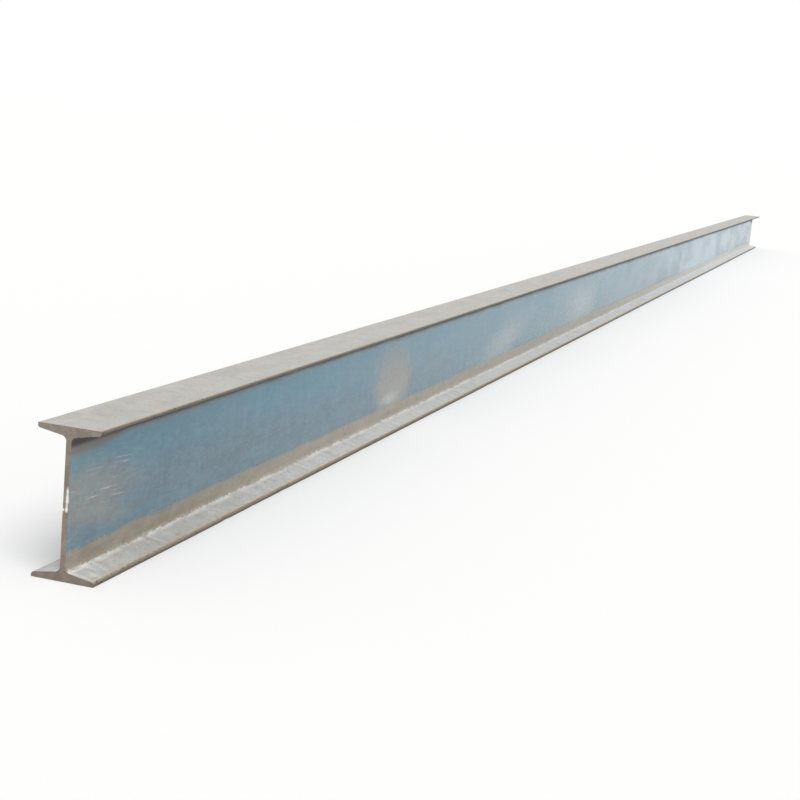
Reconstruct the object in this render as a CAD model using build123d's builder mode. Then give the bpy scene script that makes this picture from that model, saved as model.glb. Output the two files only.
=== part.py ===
# Hot-rolled steel I-beam with tapered flanges, one 12 m stock length.
# The beam stands on its lower flange: +X runs along its length, +Y across the
# flanges and +Z up. The origin is under the middle of the lower flange.

import os

from build123d import *

# Driving sizes of the rolled section, in millimetres
beam_length = 12000.0
beam_depth = 280.0
flange_width = 124.0
web_thickness = 10.5
flange_thickness = 13.7  # halfway along the flange's overhang, where rolled sections are gauged
flange_taper = 1 / 6  # rise of a flange's inner face for each unit across it
root_radius = 10.5  # hollow between the web and a flange
toe_radius = 5.3  # inner edge of a flange tip
heel_radius = 1.5  # outer edge of a flange tip, left blunt by the rolls

# Sizes that follow from them
flange_overhang = (flange_width - web_thickness) / 2
taper_rise = flange_taper * flange_overhang
toe_thickness = flange_thickness - taper_rise / 2
root_thickness = flange_thickness + taper_rise / 2

half_depth = beam_depth / 2
half_flange = flange_width / 2
half_web = web_thickness / 2

# Plane of the sawn end at -X, with its own origin at the middle of the web
end_plane = Plane(origin=(-beam_length / 2, 0, half_depth), x_dir=(0, 1, 0), z_dir=(1, 0, 0))

with BuildPart() as i_beam:
    with BuildSketch(end_plane) as section:
        with BuildLine():
            # One quarter of the outline, from the top middle round the flange tip to mid web
            FilletPolyline(
                (0, half_depth),
                (half_flange, half_depth),
                (half_flange, half_depth - toe_thickness),
                (half_web, half_depth - root_thickness),
                (half_web, 0),
                radius=[heel_radius, toe_radius, root_radius],
            )
            mirror(about=Plane.YZ)
            mirror(about=Plane.XZ)
        make_face()
    extrude(amount=beam_length)

i_beam.part.label = "i_beam"

os.makedirs("parts", exist_ok=True)
export_step(i_beam.part, "parts/i_beam.step")

section_area = i_beam.part.volume / beam_length
print(f"section area {section_area:.1f} mm2")
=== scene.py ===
import math
import random

import bmesh
import bpy
from mathutils import Matrix, Vector, noise


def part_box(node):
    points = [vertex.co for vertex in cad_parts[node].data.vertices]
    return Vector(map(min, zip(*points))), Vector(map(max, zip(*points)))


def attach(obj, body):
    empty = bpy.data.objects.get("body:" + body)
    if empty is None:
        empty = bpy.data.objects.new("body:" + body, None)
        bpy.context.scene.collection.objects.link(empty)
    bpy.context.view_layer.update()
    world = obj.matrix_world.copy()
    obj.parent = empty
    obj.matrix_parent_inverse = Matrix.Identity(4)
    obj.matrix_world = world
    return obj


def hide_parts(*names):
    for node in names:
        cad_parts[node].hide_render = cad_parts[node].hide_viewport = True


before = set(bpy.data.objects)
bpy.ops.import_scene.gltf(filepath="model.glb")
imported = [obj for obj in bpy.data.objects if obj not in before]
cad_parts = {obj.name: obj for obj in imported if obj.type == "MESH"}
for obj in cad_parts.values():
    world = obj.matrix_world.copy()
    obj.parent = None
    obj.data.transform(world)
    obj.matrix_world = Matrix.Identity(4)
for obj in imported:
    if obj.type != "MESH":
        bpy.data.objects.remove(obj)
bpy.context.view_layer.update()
low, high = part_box("i_beam")
length, width, depth = high - low
mm = 0.001  # the frame is in metres, and the sizes below are in millimetres
hair = 0.001 * mm  # nearer than this is the same place
print("frame loaded: beam of %.3f x %.3f x %.3f m" % (length, width, depth))

noiseRoughness = 0.55  # how much the finer octaves of a grain show
frayShare = 0.3  # how far grain shifts the edge of a mark, as a share of its softness


def hexColour(code):
    # sRGB hex to the linear colour that shaders take
    parts = [int(code[i:i + 2], 16) / 255 for i in (1, 3, 5)]
    return (*[p / 12.92 if p <= 0.04045 else ((p + 0.055) / 1.055) ** 2.4 for p in parts], 1.0)


def addNode(tree, kind, inputs, **settings):
    # inputs go by name, or in order when given as a list; a socket is linked and a number is set
    node = tree.nodes.new("ShaderNode" + kind)
    for name, value in settings.items():
        setattr(node, name, value)
    live = [s for s in node.inputs if s.enabled]
    if isinstance(inputs, dict):
        inputs = [(next(s for s in live if s.name == name), value) for name, value in inputs.items()]
    else:
        inputs = list(zip(live, inputs))
    for socket, value in inputs:
        if isinstance(value, bpy.types.NodeSocket):
            tree.links.new(value, socket)
        else:
            socket.default_value = value
    return next((s for s in node.outputs if s.enabled), None)


def newMaterial(name):
    material = bpy.data.materials.new(name)
    material.use_nodes = True
    material.node_tree.nodes.clear()
    return material, material.node_tree


def grainFields(tree, place, grains):
    # a 0 to 1 field for each name, from its size along x, y and z in mm, its detail,
    # and the noise at which it starts and is full
    fields = {}
    for name, (alongX, acrossY, upZ, detail, start, full) in grains.items():
        stretch = (1 / (alongX * mm), 1 / (acrossY * mm), 1 / (upZ * mm))
        spot = addNode(tree, "VectorMath", [place, stretch], operation="MULTIPLY")
        value = addNode(tree, "TexNoise", {
            "Vector": spot, "Scale": 1.0, "Detail": detail, "Roughness": noiseRoughness,
        })
        fields[name] = addNode(tree, "MapRange", {"Value": value, "From Min": start, "From Max": full},
                               interpolation_type="SMOOTHSTEP")
    return fields


def blobField(tree, place, blobs, soft, grain):
    # strongest of several soft ellipsoids, each given by its centre and half sizes in mm,
    # then its lean about the y axis in degrees
    shift = frayShare * soft
    fray = addNode(tree, "MapRange", {"Value": grain, "To Min": -shift, "To Max": shift})
    field = 0.0
    for x, y, z, halfX, halfY, halfZ, lean in blobs:
        spot = addNode(tree, "Mapping", {
            "Vector": place,
            "Location": (x * mm, y * mm, z * mm),
            "Rotation": (0, math.radians(lean), 0),
            "Scale": (halfX * mm, halfY * mm, halfZ * mm),
        }, vector_type="TEXTURE")
        away = addNode(tree, "VectorMath", [spot], operation="LENGTH")
        away = addNode(tree, "Math", [away, fray], operation="ADD")
        near = addNode(tree, "MapRange", {"Value": away, "From Min": 1.0, "From Max": 1.0 - soft},
                       interpolation_type="SMOOTHSTEP")
        field = addNode(tree, "Math", [field, near], operation="MAXIMUM")
    return field


def layCoats(tree, colour, coats, fields):
    # each coat hides its share of what is under it, where its field is high
    for code, name, share in coats:
        cover = addNode(tree, "Math", [fields[name], share], operation="MULTIPLY")
        colour = addNode(tree, "Mix", {"Factor": cover, "A": colour, "B": hexColour(code)},
                         data_type="RGBA")
    return colour


# The rolled beam

beam = {
    "web": 10.5,  # thickness of the web
    "flange": 13.7,  # flange thickness halfway along its overhang
    "taper": 1 / 6,  # slope of a flange's inner face
    "rootRadius": 10.5, "rootSegments": 8,  # hollow between web and flange
    "toeRadius": 5.3, "toeSegments": 5,  # inner edge of a flange tip
    "heelRadius": 1.5, "heelSegments": 2,  # outer edge of a flange tip
    "sharpAngle": 20,  # degrees; the heels and the sawn ends stay crisp
    "webRows": (28, 56, 84, 110),  # heights above mid depth that get a row of their own
    "flangeRows": (16, 28, 40, 52),  # distances from the web's middle that get a row of their own
    "stations": 640,  # faces along the length
    "bunching": 1.35,  # above 1, stations crowd towards the sawn ends
    "wave": 0.35, "waveLength": 420,  # slow unevenness that the rolls leave
    # knocks along the flange tips: how many, how deep, how far along they reach and how far in
    "nicks": 72, "nickDepth": (0.5, 1.8), "nickReach": (14, 40), "nickBand": 8,
    # ragged lip that the saw leaves on downward edges, its grain, and its share on the other edges
    "burr": 1.8, "burrGrain": 9, "burrElsewhere": 0.25,
    # how far a normal leans out of the cut on its rim, and down on a downward edge
    "rimLean": 0.1, "downLean": -0.3,
    "seed": 7,
    # lengths stacked on the surface map, where its sawn ends start, and the gap around each
    "mapRows": 4, "mapEnds": 0.89, "mapGap": 0.004,
}
rolled, sawn = 0, 1  # the beam's two finishes, in the order they are laid


def sectionChain(bm):
    # a quarter of the outline: middle of the top, flange tip, root and mid web, with its corners rounded
    overhang = (width / mm - beam["web"]) / 2
    toe = (beam["flange"] - beam["taper"] * overhang / 2) * mm
    root = (beam["flange"] + beam["taper"] * overhang / 2) * mm
    halfWidth, halfWeb, top = width / 2, beam["web"] / 2 * mm, depth / 2
    corners = (
        (0, top), (halfWidth, top), (halfWidth, top - toe), (halfWeb, top - root), (halfWeb, 0),
    )
    chain = [bm.verts.new((low.x, y, z)) for y, z in corners]
    for a, b in zip(chain, chain[1:]):
        bm.edges.new((a, b))
    lean = math.atan(beam["taper"])
    rounds = (
        (chain[1], beam["heelRadius"], beam["heelSegments"], math.pi / 2),
        (chain[2], beam["toeRadius"], beam["toeSegments"], math.pi / 2 + lean),
        (chain[3], beam["rootRadius"], beam["rootSegments"], math.pi / 2 + lean),
    )
    first = chain[0]
    for corner, radius, segments, angle in rounds:
        bmesh.ops.bevel(bm, geom=[corner], offset=radius * mm / math.tan(angle / 2), offset_type="OFFSET",
                        affect="VERTICES", segments=segments, profile=0.5, material=-1)
    return first


def measureChain(first, around):
    # way along the outline from the middle of the top, kept on each vertex for the map of the surface
    spot, edge, way = first, None, 0.0
    while True:
        spot[around] = way
        edge = next((e for e in spot.link_edges if e != edge), None)
        if edge is None:
            return way
        way += edge.calc_length()
        spot = edge.other_vert(spot)


def rollBeam(bm, around, along):
    quarter = measureChain(sectionChain(bm), around)
    for axis in "YZ":
        bmesh.ops.mirror(bm, geom=bm.verts[:] + bm.edges[:], axis=axis, merge_dist=hair)
    bmesh.ops.contextual_create(bm, geom=bm.edges[:])
    cuts = [(Vector((0, 1, 0)), row * mm) for row in (0, *beam["flangeRows"])]
    cuts += [(Vector((0, 0, 1)), row * mm) for row in (0, *beam["webRows"])]
    for side, row in cuts:
        for place in {row, -row}:
            bmesh.ops.bisect_plane(bm, geom=bm.verts[:] + bm.edges[:] + bm.faces[:], dist=hair,
                                   plane_co=side * place, plane_no=side)
    drawn = bmesh.ops.extrude_face_region(bm, geom=bm.faces[:], use_keep_orig=True)
    farEnd = [v for v in drawn["geom"] if isinstance(v, bmesh.types.BMVert)]
    bmesh.ops.translate(bm, verts=farEnd, vec=(length, 0, 0))
    longEdges = [e for e in bm.edges if e.calc_length() > length / 2]
    bmesh.ops.subdivide_edges(bm, edges=longEdges, cuts=beam["stations"] - 1, use_grid_fill=True)
    bmesh.ops.translate(bm, verts=bm.verts[:], vec=(0, 0, depth / 2))
    bmesh.ops.recalc_face_normals(bm, faces=bm.faces[:])
    for v in bm.verts:
        station = round((v.co.x - low.x) / length * beam["stations"])  # takes out what rounding built up
        v[along] = station / beam["stations"]
        share = 2 * v[along] - 1
        v.co.x = math.copysign(high.x * (1 - (1 - abs(share)) ** beam["bunching"]), share)
    for face in bm.faces:
        face.material_index = sawn if abs(face.normal.x) > 0.5 else rolled
        face.smooth = face.material_index == rolled
    for edge in bm.edges:
        edge.smooth = edge.calc_face_angle() < math.radians(beam["sharpAngle"])
    bmesh.ops.triangulate(bm, faces=[face for face in bm.faces if face.material_index == sawn])
    return quarter


def wearBeam(bm):
    bm.normal_update()
    draw = random.Random(beam["seed"])
    tips = [(outwards, upper) for outwards in (False, True) for upper in (False, True)]
    nicks = {tip: [(draw.uniform(low.x, high.x), draw.uniform(*beam["nickDepth"]) * mm,
                    draw.uniform(*beam["nickReach"]) * mm) for i in range(beam["nicks"] // len(tips))]
             for tip in tips}
    band = beam["nickBand"] * mm
    moves = []
    for v in bm.verts:
        move = v.normal * noise.noise(v.co / (beam["waveLength"] * mm)) * beam["wave"] * mm
        inset = width / 2 - abs(v.co.y)
        if inset < band:
            for place, deep, reach in nicks[v.co.y > 0, v.co.z > depth / 2]:
                away = abs(v.co.x - place) / reach
                if away < 1:
                    move.y -= math.copysign(deep * (1 - away ** 2) ** 2 * (1 - inset / band), v.co.y)
        outwards = Vector((0, v.normal.y, v.normal.z))
        if length / 2 - abs(v.co.x) < hair and outwards.length > beam["rimLean"]:
            lip = max(0, noise.noise(v.co / (beam["burrGrain"] * mm))) * beam["burr"] * mm
            share = 1.0 if v.normal.z < beam["downLean"] else beam["burrElsewhere"]
            move += outwards.normalized() * lip * share
        moves.append(move)
    for v, move in zip(bm.verts, moves):
        v.co += move
        v.co.z = max(v.co.z, 0)


def mapBeam(bm, around, along, quarter):
    # the outline unrolled, in lengths stacked above each other, with the sawn ends larger at the side
    uv = bm.loops.layers.uv.new("OFBake")
    rows, gap, side = beam["mapRows"], beam["mapGap"], beam["mapEnds"]
    endScale = (1 - side - 2 * gap) / width
    turns = {  # where the outline of each quarter starts, counted in quarters, and which way it runs
        (True, True): (0, 1), (True, False): (2, -1), (False, False): (2, 1), (False, True): (4, -1),
    }
    for face in bm.faces:
        middle = face.calc_center_median()
        if face.material_index == sawn:
            up = gap + (depth * endScale + 2 * gap) * (middle.x > 0)
            for loop in face.loops:
                y, z = loop.vert.co.y, loop.vert.co.z
                loop[uv].uv = (side + gap + (y + width / 2) * endScale, up + z * endScale)
            continue
        start, sign = turns[middle.y > 0, middle.z > depth / 2]
        row = int(sum(loop.vert[along] for loop in face.loops) / len(face.loops) * rows)
        for loop in face.loops:
            u = loop.vert[along] * rows - row
            v = (start * quarter + sign * loop.vert[around]) / (4 * quarter)
            loop[uv].uv = (gap + u * (side - 2 * gap), (row + gap * rows + v * (1 - 2 * gap * rows)) / rows)


bm = bmesh.new()
for layer in ("around", "along"):
    bm.verts.layers.float.new(layer)
around, along = [bm.verts.layers.float[layer] for layer in ("around", "along")]
quarterWay = rollBeam(bm, around, along)
wearBeam(bm)
mapBeam(bm, around, along, quarterWay)
for layer in ("around", "along"):
    bm.verts.layers.float.remove(bm.verts.layers.float[layer])
print("beam rolled: %d faces, %d open edges" % (len(bm.faces), sum(not e.is_manifold for e in bm.edges)))
mesh = bpy.data.meshes.new("rolled_beam")
bm.to_mesh(mesh)
bm.free()
piece = bpy.data.objects.new("rolled_beam", mesh)
bpy.context.collection.objects.link(piece)
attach(piece, "root")
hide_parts("i_beam")

# White dab of paint on the web's sawn edge, shared by both finishes

paintDab = {
    "colour": "#dcdbd6",
    "soft": 0.6,
    "blobs": (  # centre and half sizes in mm, then lean in degrees
        (-6000, -2.6, 152, 5, 3.4, 21, 0),
        (-6000, 4.4, 131, 4, 2.6, 3.4, 0),
        (-6000, -2.0, 132, 4, 3.0, 6, 0),
    ),
}

# Hot-rolled mill scale: iron oxide that forms on the cooling beam, blue-grey and half glossy on the web,
# scoured to brown dust beside the flanges, pale with dust where it faces up,
# and dark brown on the rubbed tips. Painted shade lies on the tips and under the top flange, painted light
# on the tips' tops and the inner flange faces, and painted glare towards the far end

millScale = {
    "ior": 2.0,  # iron oxide bends light more than paint does
    "gloss": (0.12, 0.22),  # roughness of bare scale, between its clouds and on them
    "roughness": (("smear", 0.5), ("offWeb", 0.55), ("tip", 0.75), ("paint", 0.5)),  # of what covers it
    # tint of the reflection on bare scale, head on and at a low angle, where the blue is a painted
    # reflection of blue sky; then under dust, dimmed on the tips as rust and painted shade, and dimmed at
    # the upper root as painted shade
    "frontTint": "#b4c8d0", "paintedSkyTint": "#80dcff",
    "tints": (
        ("handled", "#d6d6d6"), ("smear", "#d6d6d6"), ("band", "#d6d6d6"),
        ("upperRoot", "#6a6a6a"), ("flange", "#d6d6d6"), ("tip", "#6a6a6a"),
    ),
    "bump": 0.7, "pitHeight": -0.03, "gritHeight": 0.22,  # strength of the relief, and heights in mm
    "grains": {  # size along, across and up in mm, detail, and the noise where a field starts and is full
        "cloud": (420, 90, 150, 3, 0.36, 0.66),
        "mauve": (520, 90, 110, 3, 0.42, 0.62),
        "deep": (260, 60, 90, 2, 0.48, 0.72),
        "rub": (40, 30, 150, 3, 0.48, 0.80),  # upright rub marks from handling
        "mottle": (85, 30, 24, 4, 0.42, 0.62),  # bluer and greyer tints, drawn out by the rolls
        "tarnish": (110, 30, 22, 4, 0.54, 0.34),  # full where the noise is low, as bleach is
        "fibre": (20, 14, 8, 3, 0.44, 0.70),
        "fleck": (24, 14, 10, 2, 0.60, 0.72),
        "speck": (5, 2.6, 2.6, 1, 0.58, 0.76),  # grit under 1 mm, drawn larger to show
        "pit": (9, 4.5, 4.5, 1, 0.58, 0.74),  # pits under 1 mm, drawn larger to show
        "grit": (5.5, 5.5, 5.5, 3, 0.30, 0.70),
        "tooth": (7, 40, 60, 3, 0.25, 0.75),
        "sway": (150, 300, 300, 2, 0.25, 0.75),
        "patch": (90, 40, 40, 3, 0.46, 0.66),
        "rust": (170, 42, 42, 5, 0.44, 0.68),  # thin rust that shows through the dust
        "streak": (16, 60, 60, 3, 0.46, 0.70),  # short marks across the flanges
        "bleach": (18, 50, 60, 3, 0.50, 0.30),
        "gapped": (46, 14, 14, 4, 0.36, 0.56),  # breaks in the painted highlight along the lower root
    },
    "scrapeLean": -5,  # degrees that the scrapes lean from running along the beam
    "scrapeGrain": {"scrape": (70, 40, 5, 3, 0.56, 0.70)},
    "frays": {  # a measure, the grain that makes it ragged, and how far it goes either way
        "toothed": ("wayOut", "tooth", 2.5 * mm),
        "ragged": ("toothed", "sway", 2.5 * mm),
        "toothedSide": ("side", "tooth", 2.5 * mm),
        "raggedSide": ("side", "grit", 1.5 * mm),
        "raggedFacing": ("facingOut", "grit", 0.12),
    },
    "riseLength": 290 * mm, "riseHeight": 17 * mm,  # the upper band, brown and darkened with painted shade under the top flange, widens at the ends
    "ramps": {  # a measure, and where the field that reads it starts and is full
        "below": ("height", 20 * mm, -20 * mm),  # lower half of the beam
        "upperBand": ("raised", 92.5 * mm, 108.5 * mm),  # brown bands on the web beside the flanges, the upper one also painted shade under the top flange
        "lowerBand": ("ragged", 81 * mm, 92 * mm),
        # next to the roots; under the top flange this carries painted shade
        "nearRoot": ("wayOut", 100 * mm, 107 * mm),
        "blueRise": ("height", -20 * mm, 80 * mm),  # bluer towards the top of the web
        "fillet": ("raggedSide", 8 * mm, 12 * mm),  # inner face of a flange
        "outer": ("wayOut", 138.6 * mm, 139.6 * mm),  # outer face of a flange
        "inner": ("wayOut", 139.6 * mm, 138.6 * mm),
        "nearEdge": ("raggedSide", 42 * mm, 60 * mm),
        "edge": ("raggedSide", 56 * mm, 61 * mm),
        "farOut": ("side", 48 * mm, 52 * mm),
        "sideways": ("raggedFacing", 0.3, 0.5),
        "faceUp": ("facingUp", 0.1, 0.7),
        "lineStart": ("toothedSide", 7 * mm, 9 * mm),  # pale line along the lower root: a painted highlight of its hollow, broken up
        "lineEnd": ("raggedSide", 20 * mm, 13 * mm),
        "paintedGlare": ("along", -4200 * mm, 4200 * mm),  # painted glare: paler towards the far end, in place of bright sky reflected at a low angle
        "paleFlange": ("along", -5600 * mm, -4800 * mm),
        # painted glare that comes in further out, in place of reflected sky and haze
        "farGlarePainted": ("along", -1200 * mm, 3200 * mm),
        "lowAngle": ("lookedAlong", 0.15, 0.5),  # from facing the scale to looking along it
    },
    # tips are worn pale and painted lighter where they face up: where that starts and is full, and its drop
    # on the lower flange
    "wornAndLitRamp": (-0.5, 0.4), "wornAndLitBelow": -0.35,
    "marks": {  # softness, fraying grain, then centres and half sizes in mm and lean in degrees
        "smear": (0.7, "rub", ((-4195, -5, 128, 184, 9, 134, 4),)),
        "wash": (0.8, "cloud", ((-4225, -5, 76, 140, 9, 32, 0),)),
        "haze": (1.0, "fibre", ((-2950, -5, 100, 360, 9, 70, -6), (-1560, -5, 120, 370, 9, 105, 0))),
        # bloom: painted glare, a pale blue cloud over the far half in place of reflected sky
        "bloom": (1.0, "cloud", ((2800, -5, 140, 2100, 9, 400, 0),)),
        "handled": (0.9, "mauve", ((-5970, -5, 125, 260, 9, 95, 0),)),
        "dulled": (0.9, "mauve", ((-5500, -5, 112, 900, 9, 72, 0),)),
        "scuff": (0.9, "mottle", ((-5850, -5, 158, 170, 9, 66, 0),)),
    },
    "smearTop": 0.5,  # how much of the smear is left at the top of the web
    "coats": {  # base colour of a zone, then colour, field and share of each coat over it
        "web": ("#48606c", (
            ("#5b727d", "cloud", 0.7),
            ("#3d5560", "deep", 0.35),
            ("#6a676b", "mauve", 0.55),
            ("#4a7788", "blueRise", 0.5),
            ("#605a5c", "dulled", 0.7),
            ("#7c7b73", "handled", 0.7),
            # painted glare: the far stretch made paler in place of reflected sky
            ("#9db6c6", "paintedGlare", 0.25),
            ("#4a9cc0", "blueTop", 0.2),
            ("#668d9b", "mottle", 0.2),
            ("#6f7079", "tarnish", 0.22),
            ("#7f9ca8", "rub", 0.18),
            ("#a9a59d", "smear", 0.8),
            ("#c6d4db", "wash", 0.55),
            ("#cec6ba", "haze", 0.33),
            # bloom: painted glare, bluer on the far half
            ("#c4d9ea", "bloom", 0.42),
            ("#93adb7", "fibre", 0.13),
            ("#3c515d", "fleck", 0.3),
            ("#c4c9c9", "scuff", 0.55),
            ("#a3b4ba", "speck", 0.2),
            ("#40525c", "pit", 0.22),
        )),
        "band": ("#8d8473", (
            ("#a2998a", "patch", 0.6),
            ("#aaa193", "mottle", 0.35),
            ("#74685a", "tarnish", 0.35),
            ("#bdb9af", "paleFlange", 0.4),
            # painted glare towards the far end
            ("#d6d8d7", "paintedGlare", 0.35),
            ("#e8e9e8", "farGlarePainted", 0.5),
            ("#75695a", "pit", 0.5),
            ("#6f6353", "fleck", 0.4),
            ("#b3aca0", "speck", 0.5),
        )),
        # upper band: grey-brown scale darkened with painted shade from the top flange, near black at its
        # root
        "shadedUpperBand": ("#6a6661", (
            ("#2b2520", "nearRoot", 0.85),
            ("#56483d", "patch", 0.4),
            ("#7d766d", "speck", 0.4),
        )),
        "outerDust": ("#aeada9", (
            ("#bbb8b1", "patch", 0.6),
            ("#9a958b", "streak", 0.5),
            ("#968b79", "rust", 0.3),
            ("#948978", "edge", 0.5),
        )),
        # inner flange faces: dust, painted paler to make up for the shade that the top flange casts on them
        "innerDustAndLight": ("#b9b8b4", (
            ("#c8c7c3", "patch", 0.6),
            ("#dcdddd", "paleFlange", 0.7),
            # painted glare towards the far end
            ("#e2e6ea", "paintedGlare", 0.45),
            ("#f0f4f8", "farGlarePainted", 0.35),
            ("#9b9993", "streak", 0.4),
            ("#ececea", "bleach", 0.4),
            ("#b9ad98", "nearEdge", 0.5),
            ("#a0947e", "edge", 0.5),
        )),
        "underside": ("#625e59", (
            ("#56463a", "patch", 0.6),
            ("#767b80", "cloud", 0.4),
            ("#857d73", "speck", 0.5),
        )),
        # tips: dark brown rust with painted shade, darker on the top flange, and painted light where they
        # face up
        "tip": ("#3f3831", (
            ("#5f574c", "below", 0.9),
            ("#332c25", "paleFlange", 0.4),
            ("#aba08d", "wornAndLitEdge", 0.75),
            ("#776d61", "patch", 0.35),
            ("#423c35", "pit", 0.6),
            ("#958d82", "speck", 0.35),
        )),
    },
    "dustCoats": (("#84735f", "fleck", 0.3), ("#d9d9d6", "speck", 0.35), ("#8c8273", "pit", 0.5)),
    # line: a painted highlight along the lower root
    "lastCoats": (("#e4e4e0", "line", 0.75), (paintDab["colour"], "paint", 1.0)),
}


def scaleFields(tree, look):
    # every 0 to 1 field that the colours, the gloss and the relief of the scale read
    coordinates = addNode(tree, "TexCoord", {}).node.outputs
    place = coordinates["Object"]
    spot = addNode(tree, "SeparateXYZ", [place]).node.outputs
    facing = addNode(tree, "SeparateXYZ", [coordinates["Normal"]]).node.outputs
    leaning = addNode(tree, "Mapping", {
        "Vector": place, "Rotation": (0, math.radians(look["scrapeLean"]), 0),
    })
    fields = grainFields(tree, place, look["grains"]) | grainFields(tree, leaning, look["scrapeGrain"])

    # measures of the section, ragged where zones meet
    height = addNode(tree, "Math", [spot["Z"], -depth / 2], operation="ADD")
    measures = {
        "along": spot["X"],
        "side": addNode(tree, "Math", [spot["Y"]], operation="ABSOLUTE"),  # out from the web's middle
        "height": height,  # above mid depth
        "wayOut": addNode(tree, "Math", [height], operation="ABSOLUTE"),  # from mid depth, up or down
        "facingUp": facing["Z"],
        "facingOut": addNode(tree, "Math", [facing["Y"]], operation="ABSOLUTE"),
        "lookedAlong": addNode(tree, "LayerWeight", {}).node.outputs["Facing"],  # only tints the reflection
    }
    for name, (measure, grain, reach) in look["frays"].items():
        fray = addNode(tree, "MapRange", {"Value": fields[grain], "To Min": -reach, "To Max": reach})
        measures[name] = addNode(tree, "Math", [measures[measure], fray], operation="ADD")
    endWay = addNode(tree, "Math", [spot["X"]], operation="ABSOLUTE")
    rise = addNode(tree, "MapRange", {
        "Value": endWay, "From Min": length / 2 - look["riseLength"], "From Max": length / 2,
        "To Min": 0.0, "To Max": look["riseHeight"],
    }, interpolation_type="SMOOTHSTEP")
    measures["raised"] = addNode(tree, "Math", [measures["ragged"], rise], operation="ADD")

    # zones and marks
    for name, (measure, start, full) in look["ramps"].items():
        fields[name] = addNode(tree, "MapRange", {
            "Value": measures[measure], "From Min": start, "From Max": full,
        })
    for name, (soft, grain, blobs) in look["marks"].items():
        fields[name] = blobField(tree, place, blobs, soft, fields[grain])
    fields["paint"] = blobField(tree, place, paintDab["blobs"], paintDab["soft"], fields["grit"])
    fields["smearFade"] = addNode(tree, "MapRange", {
        "Value": fields["blueRise"], "To Min": 1.0, "To Max": look["smearTop"],
    })
    wornAndLit = addNode(tree, "Math", [fields["below"], look["wornAndLitBelow"], facing["Z"]],
                   operation="MULTIPLY_ADD")
    start, full = look["wornAndLitRamp"]
    fields["wornAndLitEdge"] = addNode(tree, "MapRange", {"Value": wornAndLit, "From Min": start, "From Max": full})
    fields["band"] = addNode(tree, "Mix", {
        "Factor": fields["below"], "A": fields["upperBand"], "B": fields["lowerBand"],
    }, data_type="FLOAT")
    # at the upper root the reflection is dimmed as painted shade
    fields["upperRoot"] = addNode(tree, "Math", [fields["nearRoot"], fields["below"]],
                                  operation="SUBTRACT", use_clamp=True)
    for operation, name, parts in (
        ("MAXIMUM", "flange", ("fillet", "outer")),
        ("MAXIMUM", "offWeb", ("band", "flange")),
        ("MULTIPLY", "tip", ("sideways", "farOut")),
        ("MULTIPLY", "blueTop", ("blueRise", "paleFlange")),
        ("MULTIPLY", "smear", ("smear", "smearFade")),
        ("MULTIPLY", "scuff", ("scuff", "scrape")),
        # line: where the painted highlight along the lower root lies
        ("MULTIPLY", "line", ("lineStart", "lineEnd", "gapped", "below", "faceUp", "inner")),
    ):
        field = fields[parts[0]]
        for part in parts[1:]:
            field = addNode(tree, "Math", [field, fields[part]], operation=operation)
        fields[name] = field
    return fields


def finishScale():
    look = millScale
    material, tree = newMaterial("hot-rolled mill scale")
    fields = scaleFields(tree, look)
    zones = {}
    for name, (base, coats) in look["coats"].items():
        zones[name] = layCoats(tree, hexColour(base), coats, fields)
    for name, cover, under, over in (
        ("dust", "outer", "innerDustAndLight", "outerDust"),
        ("bands", "below", "shadedUpperBand", "band"),
    ):
        zones[name] = addNode(tree, "Mix", {"Factor": fields[cover], "A": zones[under], "B": zones[over]},
                              data_type="RGBA")
    dusty = layCoats(tree, zones["dust"], look["dustCoats"], fields)
    flange = addNode(tree, "Mix", {"Factor": fields["faceUp"], "A": zones["underside"], "B": dusty},
                     data_type="RGBA")
    colour = zones["web"]
    for name, coat in (("band", zones["bands"]), ("flange", flange), ("tip", zones["tip"])):
        colour = addNode(tree, "Mix", {"Factor": fields[name], "A": colour, "B": coat}, data_type="RGBA")
    colour = layCoats(tree, colour, look["lastCoats"], fields)

    # gloss and relief
    smooth, dull = look["gloss"]
    roughness = addNode(tree, "MapRange", {"Value": fields["cloud"], "To Min": smooth, "To Max": dull})
    for name, value in look["roughness"]:
        roughness = addNode(tree, "Mix", {"Factor": fields[name], "A": roughness, "B": value},
                            data_type="FLOAT")
    tint = hexColour(look["frontTint"])
    for name, code in (("lowAngle", look["paintedSkyTint"]), *look["tints"]):
        tint = addNode(tree, "Mix", {"Factor": fields[name], "A": tint, "B": hexColour(code)},
                       data_type="RGBA")
    pits = addNode(tree, "Math", [fields["pit"], look["pitHeight"]], operation="MULTIPLY")
    grit = addNode(tree, "Math", [fields["grit"], look["gritHeight"]], operation="MULTIPLY")
    height = addNode(tree, "Mix", {"Factor": fields["offWeb"], "A": pits, "B": grit}, data_type="FLOAT")
    relief = addNode(tree, "Bump", {"Strength": look["bump"], "Distance": mm, "Height": height})
    shader = addNode(tree, "BsdfPrincipled", {
        "Base Color": colour, "Roughness": roughness, "IOR": look["ior"], "Specular Tint": tint,
        "Normal": relief,
    })
    addNode(tree, "OutputMaterial", {"Surface": shader})
    return material


# Steel cut hot by a circular saw, then rusted: flat warm grey-brown, with scratches left by the teeth

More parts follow.
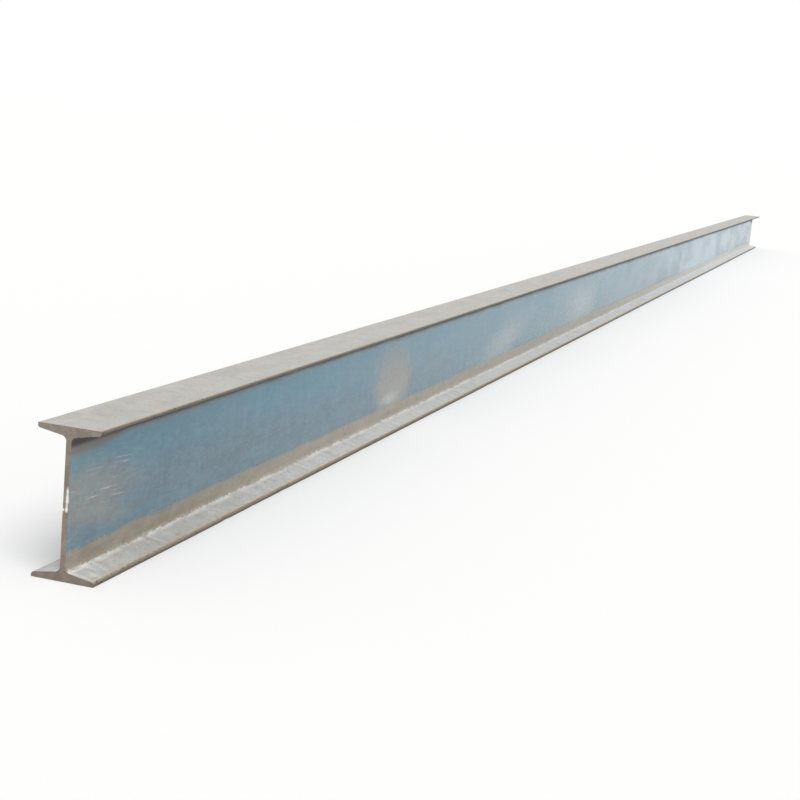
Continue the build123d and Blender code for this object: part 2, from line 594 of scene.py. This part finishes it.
sawnSteel = {
    "ior": 1.6,
    "roughness": (0.62, 0.85),  # between the blooms of rust and on them
    "bump": 0.7, "ridgeHeight": 0.25, "pitHeight": -0.2,  # strength of the relief, and heights in mm
    "sawLean": 14,  # degrees that the scratches lean
    "grains": {  # size along, across and up in mm, detail, and the noise where a field starts and is full
        "saw": (60, 300, 4.5, 2, 0.40, 0.70),  # tooth marks under 1 mm apart, drawn at 4.5 mm to show
        "bloom": (30, 26, 26, 3, 0.44, 0.66),
        "dust": (12, 12, 12, 2, 0.45, 0.70),
        "pit": (3.5, 3.5, 3.5, 1, 0.58, 0.72),
    },
    "lowDown": (60 * mm, 0.0),  # darker towards the ground
    "base": "#7b7167",
    "coats": (
        ("#8b8177", "saw", 0.45),
        ("#6d5c4f", "bloom", 0.45),
        ("#92897f", "dust", 0.4),
        ("#5d5249", "pit", 0.4),
        ("#5f5347", "lowDown", 0.45),
        (paintDab["colour"], "paint", 1.0),
    ),
}


def finishSawn():
    look = sawnSteel
    material, tree = newMaterial("sawn and rusted steel")
    place = addNode(tree, "TexCoord", {}).node.outputs["Object"]
    turned = addNode(tree, "Mapping", {"Vector": place, "Rotation": (math.radians(look["sawLean"]), 0, 0)})
    fields = grainFields(tree, turned, look["grains"])
    fields["paint"] = blobField(tree, place, paintDab["blobs"], paintDab["soft"], fields["dust"])
    up = addNode(tree, "SeparateXYZ", [place]).node.outputs["Z"]
    start, full = look["lowDown"]
    fields["lowDown"] = addNode(tree, "MapRange", {"Value": up, "From Min": start, "From Max": full})
    colour = layCoats(tree, hexColour(look["base"]), look["coats"], fields)
    smooth, dull = look["roughness"]
    roughness = addNode(tree, "MapRange", {"Value": fields["bloom"], "To Min": smooth, "To Max": dull})
    ridges = addNode(tree, "Math", [fields["saw"], look["ridgeHeight"]], operation="MULTIPLY")
    pits = addNode(tree, "Math", [fields["pit"], look["pitHeight"]], operation="MULTIPLY")
    height = addNode(tree, "Math", [ridges, pits], operation="ADD")
    relief = addNode(tree, "Bump", {"Strength": look["bump"], "Distance": mm, "Height": height})
    shader = addNode(tree, "BsdfPrincipled", {
        "Base Color": colour, "Roughness": roughness, "IOR": look["ior"], "Normal": relief,
    })
    addNode(tree, "OutputMaterial", {"Surface": shader})
    return material


mesh.materials.append(finishScale())
mesh.materials.append(finishSawn())
print("finishes laid: mill scale and sawn ends")

# Floor, light and camera

studio = {
    "floorSide": 400.0, "floorColour": "#f9f9f8", "floorRoughness": 0.9,
    "skyColour": "#ffffff",
    "skyStrength": 0.45, "seenStrength": 1.0,  # light that the sky gives, and how bright it looks
    "sunStrength": 2.3, "sunFrom": (-0.5, -0.3, 0.81),
    "sunSpread": 50,  # degrees, for soft shadows
}

bm = bmesh.new()
bmesh.ops.create_grid(bm, x_segments=1, y_segments=1, size=studio["floorSide"] / 2)
floorMesh = bpy.data.meshes.new("floor")
bm.to_mesh(floorMesh)
bm.free()
floor = bpy.data.objects.new("floor", floorMesh)
bpy.context.collection.objects.link(floor)
material, tree = newMaterial("pale floor")
shader = addNode(tree, "BsdfPrincipled", {
    "Base Color": hexColour(studio["floorColour"]), "Roughness": studio["floorRoughness"],
})
addNode(tree, "OutputMaterial", {"Surface": shader})
floorMesh.materials.append(material)

world = bpy.data.worlds.new("studio")
world.use_nodes = True
tree = world.node_tree
tree.nodes.clear()
rays = addNode(tree, "LightPath", {}).node.outputs
seen = addNode(tree, "Math", [rays["Is Camera Ray"], rays["Is Glossy Ray"]], operation="MAXIMUM")
seen = addNode(tree, "Math", [seen, rays["Is Transmission Ray"]], operation="MAXIMUM")
strength = addNode(tree, "MapRange", {
    "Value": seen, "To Min": studio["skyStrength"], "To Max": studio["seenStrength"],
})
sky = addNode(tree, "Background", {"Color": hexColour(studio["skyColour"]), "Strength": strength})
addNode(tree, "OutputWorld", {"Surface": sky})
bpy.context.scene.world = world

lamp = bpy.data.lights.new("sun", "SUN")
lamp.energy = studio["sunStrength"]
lamp.angle = math.radians(studio["sunSpread"])
sun = bpy.data.objects.new("sun", lamp)
sun.rotation_euler = Vector(studio["sunFrom"]).to_track_quat("Z", "Y").to_euler()
bpy.context.collection.objects.link(sun)

view = {
    "place": (-8.346, -1.323, 0.850),
    "aim": (-4.100, 0.0, 0.0527),
    "roll": 5.065,  # degrees
    "focal": 1556.5,  # pixels across a picture of pictureSide
    "pictureSide": 800,
    "sensor": 36.0,  # mm
    "farthest": 600.0,  # metres, past the far corners of the floor
}
lens = bpy.data.cameras.new("camera")
lens.sensor_width = view["sensor"]
lens.lens = view["focal"] / view["pictureSide"] * view["sensor"]
lens.clip_end = view["farthest"]
camera = bpy.data.objects.new("camera", lens)
place = Vector(view["place"])
turn = (Vector(view["aim"]) - place).to_track_quat("-Z", "Y").to_matrix().to_4x4()
roll = Matrix.Rotation(math.radians(view["roll"]), 4, "Z")
camera.matrix_world = Matrix.Translation(place) @ turn @ roll
bpy.context.collection.objects.link(camera)
bpy.context.scene.camera = camera
bpy.context.scene.view_settings.view_transform = "Standard"
print("floor, light and camera placed")
